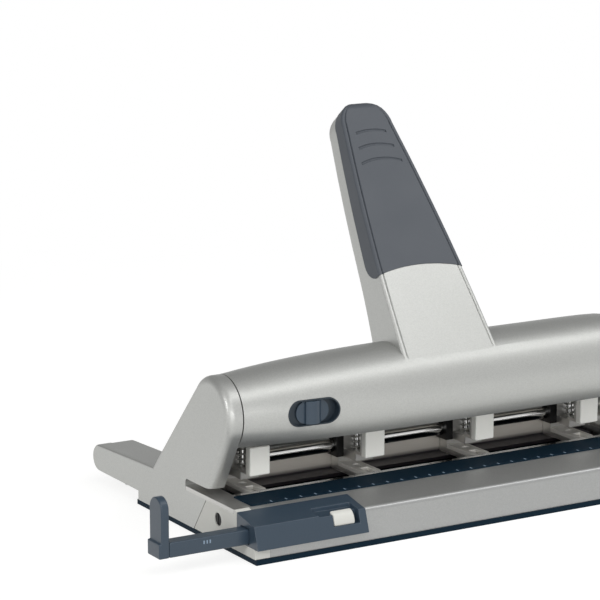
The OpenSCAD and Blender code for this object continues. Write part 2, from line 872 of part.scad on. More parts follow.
module unit_frame(i) {
    side = frame_w / 2;
    rod_block = rod_d / 2 + rod_wall;
    color(steel) translate([unit_x[i], 0, 0]) difference() {
        along_x(-side, side) {
            translate([low_jaw_front, die_seat - low_jaw_t])
                square([column_rear - low_jaw_front, low_jaw_t]);
            translate([column_front, die_seat - low_jaw_t])
                square([column_rear - column_front, jaw_top - die_seat + low_jaw_t]);
            translate([jaw_front, jaw_z]) square([column_rear - jaw_front, jaw_t]);
            translate([tab_front, tab_z]) square([jaw_front + tab_t - tab_front, tab_t]);
            translate([rod_y - rod_block, jaw_z])
                square([column_rear - rod_y + rod_block, rod_z - jaw_z + rod_block]);
            translate([tab_front, tab_z]) square([tab_t, jaw_top + face_h - tab_drop - tab_z]);
        }
        bar_x_round(-side - beyond, side + beyond, rod_y, rod_z, rod_d / 2 + fit);
        translate([0, pin_y, jaw_z - beyond]) cylinder(h = jaw_t + 2 * beyond, r = pin_d / 2 + fit);
        translate([0, pin_y, die_seat - low_jaw_t - beyond])
            cylinder(h = low_jaw_t + 2 * beyond, r = pin_d / 2 + chip_room);
    }
}

module unit_face(i) {
    color(pale) translate([unit_x[i] - face_w / 2, tab_front - face_t, tab_z])
        cube([face_w, face_t, face_h]);
}

module unit_clip(i) {
    rod_block = rod_d / 2 + clip_wall;
    color(black) translate([unit_x[i] - frame_w / 2 - clip_w, 0, 0]) difference() {
        translate([0, rod_y - rod_block, jaw_z])
            cube([clip_w, column_rear - rod_y + rod_block, rod_z - jaw_z + rod_block + clip_rise]);
        bar_x_round(-beyond, clip_w + beyond, rod_y, rod_z, rod_d / 2 + fit);
    }
}

module unit_die(i) {
    side = frame_w / 2;
    body_front = pin_y - die_reach;
    back = column_front - fit;
    color(steel) translate([unit_x[i], 0, die_seat]) difference() {
        linear_extrude(die_t) polygon([
            [side, back], [-side, back], [-side, die_front + finger_w], [finger_bevel - side, die_front],
            [finger_w - side, die_front], [finger_w - side, body_front],
            [side - finger_w, body_front], [side - finger_w, die_front],
            [side - finger_bevel, die_front], [side, die_front + finger_w]
        ]);
        translate([0, pin_y, -beyond]) cylinder(h = die_t + 2 * beyond, r = pin_d / 2 + fit);
    }
}

module unit_pin(i) {
    tip = jaw_z + pin_rest;
    notch = pin_d * 0.6;
    color(steel) translate([unit_x[i], pin_y, 0]) difference() {
        union() {
            translate([0, 0, tip]) cylinder(h = head_top - tip, d = pin_d);
            translate([0, 0, head_top - head_t]) cylinder(h = head_t, r = head_r);
        }
        translate([0, 0, tip]) rotate([45, 0, 0]) cube([2 * pin_d, notch, notch], center = true);
    }
}

// Return spring: one round wire along a helix, with a straight run at each end
ring_steps = 8;
wire_sides = 6;
spring_rise = (spring_high - spring_low - wire_d) / spring_turns;
coil = [for (i = [0:spring_turns * ring_steps]) let (a = 360 * i / ring_steps)
    [spring_r * cos(a), spring_r * sin(a), spring_low + wire_d / 2 + spring_rise * i / ring_steps]];
coil_path = concat([coil[0] - [0, wire_d, 0]], coil, [coil[len(coil) - 1] + [0, wire_d, 0]]);
coil_gap = min([for (i = [0:len(coil) - ring_steps - 1]) norm(coil[i + ring_steps] - coil[i])]) - wire_d;

// Point k of the wire's ring at path point i, turned outwards from the coil's axis
function wire_point(i, k) = let (
        p = coil_path[i],
        turn = 360 * (min(max(i, 1), len(coil)) - 1) / ring_steps,
        a = 360 * k / wire_sides,
        out = wire_d / 2 * cos(a)
    ) [p[0] + out * cos(turn), p[1] + out * sin(turn), p[2] + wire_d / 2 * sin(a)];

module spring_wire() {
    rings = len(coil_path);
    last = (rings - 1) * wire_sides;
    polyhedron(
        points = [for (i = [0:rings - 1], k = [0:wire_sides - 1]) wire_point(i, k)],
        faces = concat(
            [for (i = [0:rings - 2], k = [0:wire_sides - 1])
                let (n = (k + 1) % wire_sides, b = i * wire_sides) [b + k, b + n, b + wire_sides + k]],
            [for (i = [0:rings - 2], k = [0:wire_sides - 1])
                let (n = (k + 1) % wire_sides, b = i * wire_sides)
                    [b + n, b + wire_sides + n, b + wire_sides + k]],
            [for (k = [1:wire_sides - 2]) [0, k + 1, k]],
            [for (k = [1:wire_sides - 2]) [last, last + k, last + k + 1]]
        )
    );
}

module unit_spring(i) {
    color(steel) translate([unit_x[i], pin_y, 0]) spring_wire();
}

echo(spring_gap_mm = coil_gap);

base_mat();
base_pan();
left_end_cap();
right_end_cap();
left_base_cover();
right_base_cover();
cover_screws();
foot_pads();
paper_table();
ruler_strip();
table_edge();
rear_rail();
back_panel();
guide_rod();
left_pivot_pin();
right_pivot_pin();
guide_housing();
guide_catch();
lever_cover();
handle_grip();
cam_shaft();
left_lever_plate();
right_lever_plate();
lock_bezel();
lock_slider();
guide_bar();
guide_stop();
for (i = [0:3]) {
    unit_frame(i);
    unit_face(i);
    unit_clip(i);
    unit_die(i);
    unit_pin(i);
    unit_spring(i);
}
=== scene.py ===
"""Looks of an adjustable hole punch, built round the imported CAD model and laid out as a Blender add-on."""

import json
import math

import bpy
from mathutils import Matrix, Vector


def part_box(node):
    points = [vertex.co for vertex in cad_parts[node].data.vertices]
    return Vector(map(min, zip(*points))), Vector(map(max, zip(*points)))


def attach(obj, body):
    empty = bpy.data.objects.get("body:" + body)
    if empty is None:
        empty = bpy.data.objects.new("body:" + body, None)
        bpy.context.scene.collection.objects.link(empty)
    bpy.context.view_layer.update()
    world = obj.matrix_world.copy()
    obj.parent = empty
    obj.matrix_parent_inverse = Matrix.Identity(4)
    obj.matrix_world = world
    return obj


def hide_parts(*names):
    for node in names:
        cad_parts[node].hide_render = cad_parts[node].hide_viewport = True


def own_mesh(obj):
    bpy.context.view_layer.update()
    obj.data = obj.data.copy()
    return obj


bl_info = {
    "name": "Adjustable Hole Punch",
    "version": (1, 0, 0),
    "blender": (4, 5, 0),
    "location": "3D View > Sidebar > Punch",
    "description": "Dresses the CAD model of a desk punch with finishes, soft edges and scale marks",
    "category": "Object",
}

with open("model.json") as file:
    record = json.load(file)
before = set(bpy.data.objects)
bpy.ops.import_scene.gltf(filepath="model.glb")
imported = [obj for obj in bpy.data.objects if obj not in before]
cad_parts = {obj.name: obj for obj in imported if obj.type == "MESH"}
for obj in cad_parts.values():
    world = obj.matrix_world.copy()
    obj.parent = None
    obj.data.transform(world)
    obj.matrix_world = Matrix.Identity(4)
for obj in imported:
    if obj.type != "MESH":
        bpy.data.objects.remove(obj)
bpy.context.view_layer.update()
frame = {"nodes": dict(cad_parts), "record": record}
BEHAVIOUR = frame["record"]["behaviour"]
BODY_OF = {node: body for body, nodes in BEHAVIOUR["bodies"].items() for node in nodes}
SLOT_OF = {part["node"]: part["material_slot"] for part in frame["record"]["subparts"]}
UNITS = (1, 2, 3, 4)
MM = 0.001

# Nodes whose shade differs from the other nodes of their slot
SHADE_OF = {
    "left_base_cover": "cover_plastic",
    "right_base_cover": "cover_plastic",
    "guide_catch": "cover_plastic",
    # The lock's bezel is darkened with painted shade of its recess
    "lock_bezel": "recess_plastic",
    # The rail's low shelf gets painted shade
    "rear_rail": "greased_aluminium",
    **{f"unit_{k}_die": "die_steel" for k in UNITS},
}

# Points closer than this become one, and faces within this many degrees become one flat face
MERGE = 0.01 * MM
FLAT = 0.5
# Degrees up to which shells, softened pieces and wires are shaded smooth
SHELL_ANGLE = 32
SOFT_ANGLE = 35
WIRE_ANGLE = 50
# Soft edges: their sections, and the least angle in degrees of an edge that gets one
EDGE_SECTIONS = 3
EDGE_ANGLE = 25
# Largest radius of a moulded edge, as a share of the piece's shortest side
EDGE_SHARE = 0.2
# Gap left round the wedges at the roots of the foot arms
ROOT_GAP = 0.3 * MM

# The soft face of a printed mark: drawn in by a share of its width and raised by a share of its thickness
MARK_INSET = 0.2
MARK_RAISE = 0.3
# Least cosine between the normal of a face and the way it has to face
FACING = 0.9
# Distance of the ruler's marks from its front edge
RULER_MARK_GAP = 0.4 * MM
# Marks of the paper guide: distance from the bar's outer end, pitch, number, and levels above its middle
GUIDE_MARK_START = 22 * MM
GUIDE_MARK_PITCH = 2 * MM
GUIDE_MARK_COUNT = 3
GUIDE_MARK_LOW = 0.5 * MM
GUIDE_MARK_HIGH = 2.5 * MM

# Detail of the noise in the grain and in the gloss, and the noise values between which the gloss changes
GRAIN_DETAIL = 3.0
PATCH_DETAIL = 2.0
PATCH_LOW = 0.15
PATCH_HIGH = 0.85
# Heights above the rail's foot between which its painted shade fades out
SHADE_FADE_LOW = 2.2 * MM
SHADE_FADE_HIGH = 5 * MM

# Camera: width of the sensor in millimetres, and how far it sees in metres
SENSOR_MM = 36
SIGHT = 100
# Glow of the floor where it is seen, and the distances from the middle between which it turns plain white
FLOOR_GLOW = 0.78
FLOOR_NEAR = 0.3
FLOOR_FAR = 0.8
# Strength of the world in front of the punch, and low and high behind it
SKY_FRONT = 0.74
SKY_BACK_LOW = 0.6
SKY_BACK_HIGH = 0.24
# Directions between which the world changes from front to back along Y, and from low to high along Z
SKY_TURN = 0.3
SKY_LOW = 0.2
SKY_HIGH = 0.45
# Area lights, in metres and watts
SOFTBOXES = (
    {"name": "overhead_softbox", "place": (0.6, -0.75, 1.4), "aim": (0, 0, 0.08),
     "size": (3.0, 0.35), "power": 8},
    {"name": "left_softbox", "place": (-1.7, -0.6, 0.8), "aim": (0, 0, 0.1),
     "size": (0.5, 0.5), "power": 6.5},
    {"name": "front_softbox", "place": (-0.5, -1.7, 0.3), "aim": (0, 0, 0.05),
     "size": (1.6, 0.4), "power": 7.5},
)


def linear(code):
    """Linear colour with alpha from an sRGB hex value."""
    parts = [int(code[i:i + 2], 16) / 255 for i in (1, 3, 5)]
    return tuple(p / 12.92 if p <= 0.04045 else ((p + 0.055) / 1.055) ** 2.4 for p in parts) + (1.0,)


def colour_property(name, description, code):
    """Colour property with its default given as an sRGB hex value."""
    return bpy.props.FloatVectorProperty(
        name=name, description=description, subtype="COLOR", size=4, min=0, max=1, default=linear(code))


def length_property(name, description, millimetres):
    """Length property with its default given in millimetres."""
    return bpy.props.FloatProperty(
        name=name, description=description, unit="LENGTH", subtype="DISTANCE", min=0,
        default=millimetres * MM)


class PunchColours(bpy.types.PropertyGroup):
    """Colours of the punch's finishes."""

    silver: colour_property("Silver paint", "Metallic paint of the cover and the end caps", "#BABBB8")
    base: colour_property("Base paint", "Metallic paint of the base and its back panel", "#A8A9A8")
    pale: colour_property("Pale plastic", "Front blocks of the punch units", "#FBFBF5")
    cover: colour_property("Cover plastic", "Base covers and catch of the paper guide", "#D8D8D2")
    slate: colour_property("Slate plastic", "Paper guide and lock slide", "#364553")
    navy: colour_property("Navy plastic", "Mat and ruler strip", "#0C2230")
    # Painted shade: the bezel is made dark for the shade in the lock's recess
    recess: colour_property("Recess plastic", "Bezel of the lock slide", "#1C2933")
    grip: colour_property("Soft grip", "Soft grip on the handle", "#4D5259")
    steel: colour_property("Plated steel", "Frames, springs, pivots and paper table", "#C6C5C2")
    die: colour_property("Die steel", "Die plates of the punch units", "#EDEBE5")
    chrome: colour_property("Chrome", "Guide rod, punch pins and lip of the table", "#E2E2E0")
    aluminium: colour_property("Aluminium", "Cam shaft and rear rail", "#E6E1D8")
    # Painted shade for the rail's shelf, low under the cover
    grease: colour_property("Grease", "Grease on the track of the lower jaws", "#444247")
    # Partly painted shade: near-black for the shade deep in the screw holes
    blackened: colour_property("Blackened steel", "Screws of the base covers", "#1C1C1D")
    black: colour_property("Black plastic", "Clips of the punch units", "#0C0C0D")
    rubber: colour_property("Rubber", "Pads under the foot arms", "#222222")
    mark: colour_property("Scale marks", "Printed marks of the ruler and the paper guide", "#8FA3B6")


class PunchSizes(bpy.types.PropertyGroup):
    """Sizes of the soft edges and the scale marks."""

    moulded_edge: length_property("Moulded edge", "Radius along the edges of moulded pieces", 0.9)
    pressed_edge: length_property("Pressed edge", "Radius along the edges of pressed steel pieces", 0.2)
    mark_pitch: length_property("Mark pitch", "Distance between marks of the ruler", 10)
    mark_width: length_property("Mark width", "Width of a mark", 0.8)
    mark_length: length_property("Mark length", "Length of the marks of the ruler", 2.4)
    mark_height: length_property("Mark height", "Thickness of the printed marks", 0.06)


class PunchStage(bpy.types.PropertyGroup):
    """Camera and floor."""

    lens: bpy.props.FloatProperty(
        name="Lens", description="Focal length on a 36 mm sensor, in millimetres", default=160.2, min=10)
    place: bpy.props.FloatVectorProperty(
        name="Camera place", description="Where the camera stands", subtype="TRANSLATION", unit="LENGTH",
        default=(-0.8775, -1.334, 0.461))
    turn: bpy.props.FloatVectorProperty(
        name="Camera turn", description="How the camera is turned", subtype="EULER", unit="ROTATION",
        default=(math.radians(78.08), 0, math.radians(-30.76)))
    floor_size: length_property("Floor size", "Side of the floor", 16000)
    floor: colour_property("Floor", "Colour of the floor", "#A2A2A0")


def add_node(tree, kind, settings=None, inputs=None):
    """Add a shader node with its settings, and set or link its inputs by name or number."""
    node = tree.nodes.new(kind)
    for key, value in (settings or {}).items():
        setattr(node, key, value)
    for key, value in (inputs or {}).items():
        if isinstance(value, bpy.types.NodeSocket):
            tree.links.new(value, node.inputs[key])
        else:
            node.inputs[key].default_value = value
    return node


def ramp(tree, value, start, stop, low=0.0, high=1.0):
    """Value that goes from low to high while another one goes from start to stop."""
    ends = {0: value, 1: start, 2: stop, 3: low, 4: high}
    return add_node(tree, "ShaderNodeMapRange", inputs=ends).outputs[0]


def noise(tree, place, size_mm, detail):
    """Noise whose largest features have about a given size."""
    inputs = {"Vector": place, "Scale": 1 / (size_mm * MM), "Detail": detail}
    return add_node(tree, "ShaderNodeTexNoise", inputs=inputs).outputs[0]


def mixed(tree, share, first, second):
    """Colour between two others."""
    inputs = {0: share, 6: first, 7: second}
    return add_node(tree, "ShaderNodeMix", {"data_type": "RGBA"}, inputs).outputs[2]


def reckon(tree, operation, first, second):
    """Result of an operation on two values."""
    return add_node(tree, "ShaderNodeMath", {"operation": operation}, {0: first, 1: second}).outputs[0]


def surface(name, colour, roughness, grain_mm, tone, relief_mm, patch_mm, patch, metallic=0.0,
            stretch=(1, 1, 1), cells=False, coat=0.0, specular=0.5, painted_shade=None):
    """Material with a grain of a real size in its tone and relief, and patches in its gloss.

    Colours go by their names in PunchColours. A painted shade is a darker colour laid on towards the bottom,
    and the two levels between which it fades out upwards.
    """
    colours = bpy.context.scene.punch_colours
    plain = getattr(colours, colour)[:3]
    material = bpy.data.materials.new(name)
    material.use_nodes = True
    tree = material.node_tree
    tree.nodes.clear()
    place = add_node(tree, "ShaderNodeTexCoord").outputs["Object"]
    drawn = add_node(tree, "ShaderNodeMapping", inputs={"Vector": place, "Scale": stretch}).outputs["Vector"]
    if cells:
        found = add_node(tree, "ShaderNodeTexVoronoi", inputs={
            "Vector": drawn, "Scale": 1 / (grain_mm * MM)})
        grain = add_node(tree, "ShaderNodeSeparateColor", inputs={0: found.outputs["Color"]}).outputs[0]
    else:
        grain = noise(tree, drawn, grain_mm, GRAIN_DETAIL)
    dark = tuple(c * (1 - tone) for c in plain) + (1.0,)
    light = tuple(min(1.0, c * (1 + tone)) for c in plain) + (1.0,)
    shade = mixed(tree, grain, dark, light)
    # Painted shade: towards the bottom the colour turns to a darker one
    if painted_shade:
        shade_colour, low, high = painted_shade
        level = add_node(tree, "ShaderNodeSeparateXYZ", inputs={0: place}).outputs["Z"]
        shade = mixed(tree, ramp(tree, level, low, high), getattr(colours, shade_colour), shade)
    spread = noise(tree, place, patch_mm, PATCH_DETAIL)
    gloss = ramp(tree, spread, PATCH_LOW, PATCH_HIGH, roughness - patch, roughness + patch)
    bump = add_node(tree, "ShaderNodeBump", inputs={
        "Height": grain, "Distance": relief_mm * MM, "Strength": 1.0})
    shader = add_node(tree, "ShaderNodeBsdfPrincipled", inputs={
        "Base Color": shade, "Metallic": metallic, "Roughness": gloss, "Normal": bump.outputs[0],
        "Coat Weight": coat, "Specular IOR Level": specular})
    add_node(tree, "ShaderNodeOutputMaterial", inputs={"Surface": shader.outputs[0]})
    return material


# Settings of the surface of each slot and shade
FINISHES = {
    # Silver metallic paint on pressed steel and cast zinc: aluminium flakes under lacquer give a wide satin
    # gloss with a fine sparkle. Real flakes are about 0.05 mm, and are drawn at 0.5 mm so that they show.
    "silver_paint": {
        "colour": "silver", "metallic": 0.68, "roughness": 0.4, "grain_mm": 0.5, "tone": 0.05,
        "relief_mm": 0.002, "patch_mm": 35, "patch": 0.02, "cells": True, "coat": 0.05},
    # The same paint on the base and the back panel, a shade darker and with a closer gloss
    "base_paint": {
        "colour": "base", "metallic": 0.6, "roughness": 0.3, "grain_mm": 0.5, "tone": 0.05,
        "relief_mm": 0.002, "patch_mm": 35, "patch": 0.02, "cells": True, "coat": 0.05},
    # ABS, moulded in a polished mould: a plain even gloss with hardly any grain
    "pale_plastic": {
        "colour": "pale", "roughness": 0.42, "grain_mm": 0.7, "tone": 0.02,
        "relief_mm": 0.004, "patch_mm": 20, "patch": 0.04},
    # The same plastic, in the greyer shade of the base
    "cover_plastic": {
        "colour": "cover", "roughness": 0.42, "grain_mm": 0.7, "tone": 0.02,
        "relief_mm": 0.004, "patch_mm": 20, "patch": 0.04},
    # ABS, moulded in an eroded mould: fine pits of about 0.2 mm, drawn at 0.4 mm, that break up the gloss
    "slate_plastic": {
        "colour": "slate", "roughness": 0.3, "grain_mm": 0.4, "tone": 0.06,
        "relief_mm": 0.006, "patch_mm": 25, "patch": 0.02},
    # Polystyrene sheet, matt, with a printed face
    "navy_plastic": {
        "colour": "navy", "roughness": 0.6, "grain_mm": 0.5, "tone": 0.08,
        "relief_mm": 0.008, "patch_mm": 30, "patch": 0.05, "specular": 0.1},
    # ABS again, matt, in the recess of the lock slide, darkened with painted shade for the shade in the
    # recess
    "recess_plastic": {
        "colour": "recess", "roughness": 0.5, "grain_mm": 0.5, "tone": 0.06,
        "relief_mm": 0.008, "patch_mm": 30, "patch": 0.05},
    # Thermoplastic elastomer, moulded on the handle: matt and slightly pebbled, and shinier where it is held
    "soft_grip": {
        "colour": "grip", "roughness": 0.5, "grain_mm": 0.6, "tone": 0.05,
        "relief_mm": 0.006, "patch_mm": 30, "patch": 0.06},
    # Zinc plated sheet steel: rolling lines along the sheet and a cloudy gloss
    "steel": {
        "colour": "steel", "metallic": 0.8, "roughness": 0.36, "grain_mm": 0.6, "tone": 0.08,
        "relief_mm": 0.003, "patch_mm": 8, "patch": 0.06, "stretch": (1, 0.2, 1)},
    # Nickel plated steel, satin and pale: the plate is fine grained, so much of the light is scattered
    "die_steel": {
        "colour": "die", "metallic": 0.4, "roughness": 0.4, "grain_mm": 0.6, "tone": 0.05,
        "relief_mm": 0.003, "patch_mm": 8, "patch": 0.06},
    # Blackened steel: an oxide film, dark and half matt. Its near-black is partly painted shade, for the
    # shade deep in the screw holes
    "black_steel": {
        "colour": "blackened", "metallic": 0.6, "roughness": 0.5, "grain_mm": 0.4, "tone": 0.1,
        "relief_mm": 0.003, "patch_mm": 6, "patch": 0.06},
    # Chrome plate on ground steel: nearly a mirror, with faint grinding lines
    "chrome": {
        "colour": "chrome", "metallic": 1.0, "roughness": 0.14, "grain_mm": 0.4, "tone": 0.03,
        "relief_mm": 0.001, "patch_mm": 25, "patch": 0.03, "stretch": (0.2, 1, 1)},
    # Extruded aluminium, as drawn: long die lines along the bar
    "extruded_aluminium": {
        "colour": "aluminium", "metallic": 0.7, "roughness": 0.45, "grain_mm": 0.5, "tone": 0.06,
        "relief_mm": 0.004, "patch_mm": 40, "patch": 0.05, "stretch": (0.05, 1, 1)},
    # Acetal: black, with the slight sheen of a slippery plastic
    "black_plastic": {
        "colour": "black", "roughness": 0.4, "grain_mm": 0.5, "tone": 0.1,
        "relief_mm": 0.006, "patch_mm": 15, "patch": 0.05, "specular": 0.3},
    # Rubber, moulded: matt, with a dusty bloom
    "foot_rubber": {
        "colour": "rubber", "roughness": 0.75, "grain_mm": 0.8, "tone": 0.15,
        "relief_mm": 0.02, "patch_mm": 10, "patch": 0.08},
    # Pad printing ink: thin, matt and a little uneven
    "printed_mark": {
        "colour": "mark", "roughness": 0.6, "grain_mm": 0.3, "tone": 0.06,
        "relief_mm": 0.002, "patch_mm": 10, "patch": 0.05},
}
# The same aluminium on the rail, with painted shade on the shelf that the lower jaws slide on, low under the
# cover: darker towards the bottom
RAIL_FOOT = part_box("rear_rail")[0][2]
FINISHES["greased_aluminium"] = {
    **FINISHES["extruded_aluminium"], "painted_shade": ("grease", RAIL_FOOT + SHADE_FADE_LOW, RAIL_FOOT + SHADE_FADE_HIGH)}


def finish_of(slot):
    """The material of a slot or a shade, made the first time that it is asked for."""
    # The frame brings plain materials under the names of the slots, so the finishes have names of their own
    name = slot + "_finish"
    if name not in bpy.data.materials:
        surface(name, **FINISHES[slot])
    return bpy.data.materials[name]


def pick_only(piece):
    """Make one piece the only selected one, and active."""
    bpy.ops.object.select_all(action="DESELECT")
    bpy.context.view_layer.objects.active = piece
    piece.select_set(True)


def merged_copy(node, name):
    """New piece with a merged copy of a CAD node's mesh."""
    piece = bpy.data.objects.new(name, frame["nodes"][node].data.copy())
    bpy.context.scene.collection.objects.link(piece)
    pick_only(piece)
    bpy.ops.object.mode_set(mode="EDIT")
    bpy.ops.mesh.select_all(action="SELECT")
    bpy.ops.mesh.remove_doubles(threshold=MERGE)
    bpy.ops.mesh.customdata_custom_splitnormals_clear()
    bpy.ops.object.mode_set(mode="OBJECT")
    return piece


def join_flats(piece):
    """Join the triangles of each flat face into one face."""
    pick_only(piece)
    bpy.ops.object.mode_set(mode="EDIT")
    bpy.ops.mesh.select_all(action="SELECT")
    bpy.ops.mesh.dissolve_limited(angle_limit=math.radians(FLAT))
    bpy.ops.object.mode_set(mode="OBJECT")


def smooth(piece, degrees):
    """Shade a piece smooth up to an angle, with its flat faces kept flat."""
    pick_only(piece)
    bpy.ops.object.shade_smooth_by_angle(angle=math.radians(degrees))
    weighted = piece.modifiers.new("Flat faces", "WEIGHTED_NORMAL")
    weighted.keep_sharp = True
    bpy.ops.object.modifier_apply(modifier=weighted.name)


def soften(piece, width):
    """Round the edges of a piece that has flat faces."""
    join_flats(piece)
    bevel = piece.modifiers.new("Soft edges", "BEVEL")
    bevel.width = width
    bevel.segments = EDGE_SECTIONS
    bevel.limit_method = "ANGLE"
    bevel.angle_limit = math.radians(EDGE_ANGLE)
    bpy.ops.object.modifier_apply(modifier=bevel.name)
    smooth(piece, SOFT_ANGLE)


def dress(piece, node):
    """Give a piece the finish of a CAD node, and no other."""
    piece.data.materials.clear()
    piece.data.materials.append(finish_of(SHADE_OF.get(node, SLOT_OF[node])))


def stand_in(piece, node, body=None):
    """Let a piece stand for a CAD node, with its finish, and ride on the node's body or another one."""
    dress(piece, node)
    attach(piece, body or BODY_OF[node])
    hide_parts(node)


def smooth_shell(node, name):
    """Smooth piece with the shape of a CAD node, which it stands for."""
    piece = merged_copy(node, name)
    join_flats(piece)
    smooth(piece, SHELL_ANGLE)
    stand_in(piece, node)


class PUNCH_OT_shells(bpy.types.Operator):
    """Lever cover, end caps and base pan, as smooth painted shells"""

    bl_idname = "punch.shells"
    bl_label = "Painted Shells"

    def execute(self, context):
        for node in ("lever_cover", "left_end_cap", "right_end_cap", "base_pan"):
            smooth_shell(node, node + "_shell")
        return {"FINISHED"}


def arm_root(side):
    """Wedge that fills the corner between a foot arm and the back panel: a cube with its corners set."""
    node = side + "_end_cap"
    sign = -1 if side == "left" else 1
    cap = [v.co for v in frame["nodes"][node].data.vertices]
    panel = [v.co for v in frame["nodes"]["back_panel"].data.vertices]
    seam = max(v.x for v in panel)
    inner = min(abs(v.x) for v in cap)
    # The arm's inner face: where it starts, its top there, and how its top falls towards the far end
    face = [v for v in cap if abs(v.x) < inner + MERGE]
    front = min(v.y for v in face)
    crown = max((v for v in face if v.y < front + MERGE), key=lambda v: v.z)
    end = max((v for v in face if v.y > front + MERGE), key=lambda v: v.z)
    fall = (crown.z - end.z) / (end.y - crown.y)
    # The panel's outer face: its foot, its head and how it leans
    foot = max(panel, key=lambda v: v.y)
    head = max(panel, key=lambda v: v.z)
    lean = (foot.y - head.y) / (head.z - foot.z)
    # The wedge starts where the line of the arm's top meets the panel
    toe = foot.y + ROOT_GAP
    low = foot.z + ROOT_GAP
    nose = (toe - lean * (crown.z + fall * front - foot.z)) / (1 - lean * fall)
    bpy.ops.mesh.primitive_cube_add(size=1)
    piece = bpy.context.object
    piece.name = side + "_arm_root"
    for v in piece.data.vertices:
        x = seam if v.co.x * sign > 0 else inner
        if v.co.z < 0:
            v.co = (sign * x, front if v.co.y > 0 else toe, low)
        elif v.co.y > 0:
            v.co = (sign * x, front, crown.z)
        else:
            v.co = (sign * x, nose, crown.z + fall * (front - nose))
    dress(piece, node)
    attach(piece, BODY_OF[node])


class PUNCH_OT_arm_roots(bpy.types.Operator):
    """Wedges that carry the tops of the foot arms on to the back panel"""

    bl_idname = "punch.arm_roots"
    bl_label = "Arm Roots"

    def execute(self, context):
        for side in ("left", "right"):
            arm_root(side)
        return {"FINISHED"}


class PUNCH_OT_grip(bpy.types.Operator):
    """Soft grip on the handle"""

    bl_idname = "punch.grip"
    bl_label = "Handle Grip"

    def execute(self, context):
        smooth_shell("handle_grip", "grip_skin")
        return {"FINISHED"}


class PUNCH_OT_moulded(bpy.types.Operator):
    """Moulded pieces with soft edges: paper guide, base covers, lock slide, and blocks and clips of units"""

    bl_idname = "punch.moulded"
    bl_label = "Moulded Pieces"

    def execute(self, context):
        width = context.scene.punch_sizes.moulded_edge
        nodes = ["guide_housing", "guide_catch", "guide_bar", "guide_stop",
                 "left_base_cover", "right_base_cover", "lock_slider"]
        nodes += [f"unit_{k}_{part}" for k in UNITS for part in ("face", "clip")]
        for node in nodes:
            piece = merged_copy(node, node + "_moulding")
            soften(piece, min(width, EDGE_SHARE * min(piece.dimensions)))
            stand_in(piece, node)
        return {"FINISHED"}


class PUNCH_OT_pressings(bpy.types.Operator):
    """Pressed steel pieces with a slight edge: the frames and dies of the units"""

    bl_idname = "punch.pressings"
    bl_label = "Pressed Pieces"

    def execute(self, context):
        width = context.scene.punch_sizes.pressed_edge
        for node in [f"unit_{k}_{part}" for k in UNITS for part in ("frame", "die")]:
            piece = merged_copy(node, node + "_pressing")
            soften(piece, width)
            stand_in(piece, node)
        return {"FINISHED"}


class PUNCH_OT_springs(bpy.types.Operator):
    """Return springs, which stand on the frames and get shorter as the pins go down"""

    bl_idname = "punch.springs"
    bl_label = "Return Springs"

    def execute(self, context):
        for k in UNITS:
            node = f"unit_{k}_spring"
            piece = merged_copy(node, node + "_wire")
            smooth(piece, WIRE_ANGLE)
            stand_in(piece, node, f"unit_{k}")
            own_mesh(piece)
        return {"FINISHED"}


def printed_marks(name, low, high, pitch, count, out):
    """Row of printed marks along X: one bar between two corners, with a soft face outwards, repeated."""
    bpy.ops.object.select_all(action="DESELECT")
    size = Vector(high) - Vector(low)
    middle = (Vector(low) + Vector(high)) / 2
    bpy.ops.mesh.primitive_cube_add(size=1, location=middle, scale=size)
    mark = bpy.context.object
    mark.name = name
    bpy.ops.object.transform_apply(location=True, rotation=True, scale=True)
    bpy.ops.object.mode_set(mode="EDIT")
    bpy.ops.mesh.select_all(action="DESELECT")
    bpy.ops.object.mode_set(mode="OBJECT")
    for face in mark.data.polygons:
        face.select = face.normal.dot(out) > FACING
    bpy.ops.object.mode_set(mode="EDIT")
    bpy.ops.mesh.inset(thickness=MARK_INSET * size.x)
    bpy.ops.transform.translate(value=MARK_RAISE * abs(size.dot(out)) * out)
    bpy.ops.object.mode_set(mode="OBJECT")
    row = mark.modifiers.new("Row", "ARRAY")
    row.count = count
    row.use_relative_offset = False
    row.use_constant_offset = True
    row.constant_offset_displace = (pitch, 0, 0)
    bpy.ops.object.modifier_apply(modifier=row.name)
    mark.data.materials.append(finish_of("printed_mark"))
    return mark


class PUNCH_OT_marks(bpy.types.Operator):
    """Scale marks on the ruler and on the bar of the paper guide"""

    bl_idname = "punch.marks"
    bl_label = "Scale Marks"

    def execute(self, context):
        s = context.scene.punch_sizes
        half = s.mark_width / 2
        low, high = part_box("ruler_strip")
        front = low[1] + RULER_MARK_GAP
        count = int((high[0] - s.mark_pitch) / s.mark_pitch)
        x = -count * s.mark_pitch
        row = printed_marks("ruler_marks", (x - half, front, high[2]),
                            (x + half, front + s.mark_length, high[2] + s.mark_height),
                            s.mark_pitch, 2 * count + 1, Vector((0, 0, 1)))
        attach(row, "base")
        low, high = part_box("guide_bar")
        x = low[0] + GUIDE_MARK_START
        middle = (low[2] + high[2]) / 2
        row = printed_marks("guide_bar_marks",
                            (x - half, low[1] - s.mark_height, middle + GUIDE_MARK_LOW),
                            (x + half, low[1], middle + GUIDE_MARK_HIGH),
                            GUIDE_MARK_PITCH, GUIDE_MARK_COUNT, Vector((0, -1, 0)))
        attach(row, "guide")
        return {"FINISHED"}


class PUNCH_OT_finishes(bpy.types.Operator):
    """Finishes of the CAD nodes, which show where no piece stands for them"""

    bl_idname = "punch.finishes"
    bl_label = "Other Finishes"

    def execute(self, context):
        for name, node in frame["nodes"].items():
            dress(node, name)
        return {"FINISHED"}


def softbox(name, place, aim, size, power):
    """Rectangular area light at a place, aimed at a point."""
    data = bpy.data.lights.new(name, "AREA")
    data.shape = "RECTANGLE"
    data.size, data.size_y = size
    data.energy = power
    lamp = bpy.data.objects.new(name, data)
    bpy.context.scene.collection.objects.link(lamp)
    lamp.location = place
    lamp.rotation_euler = (Vector(aim) - Vector(place)).to_track_quat("-Z", "Y").to_euler()


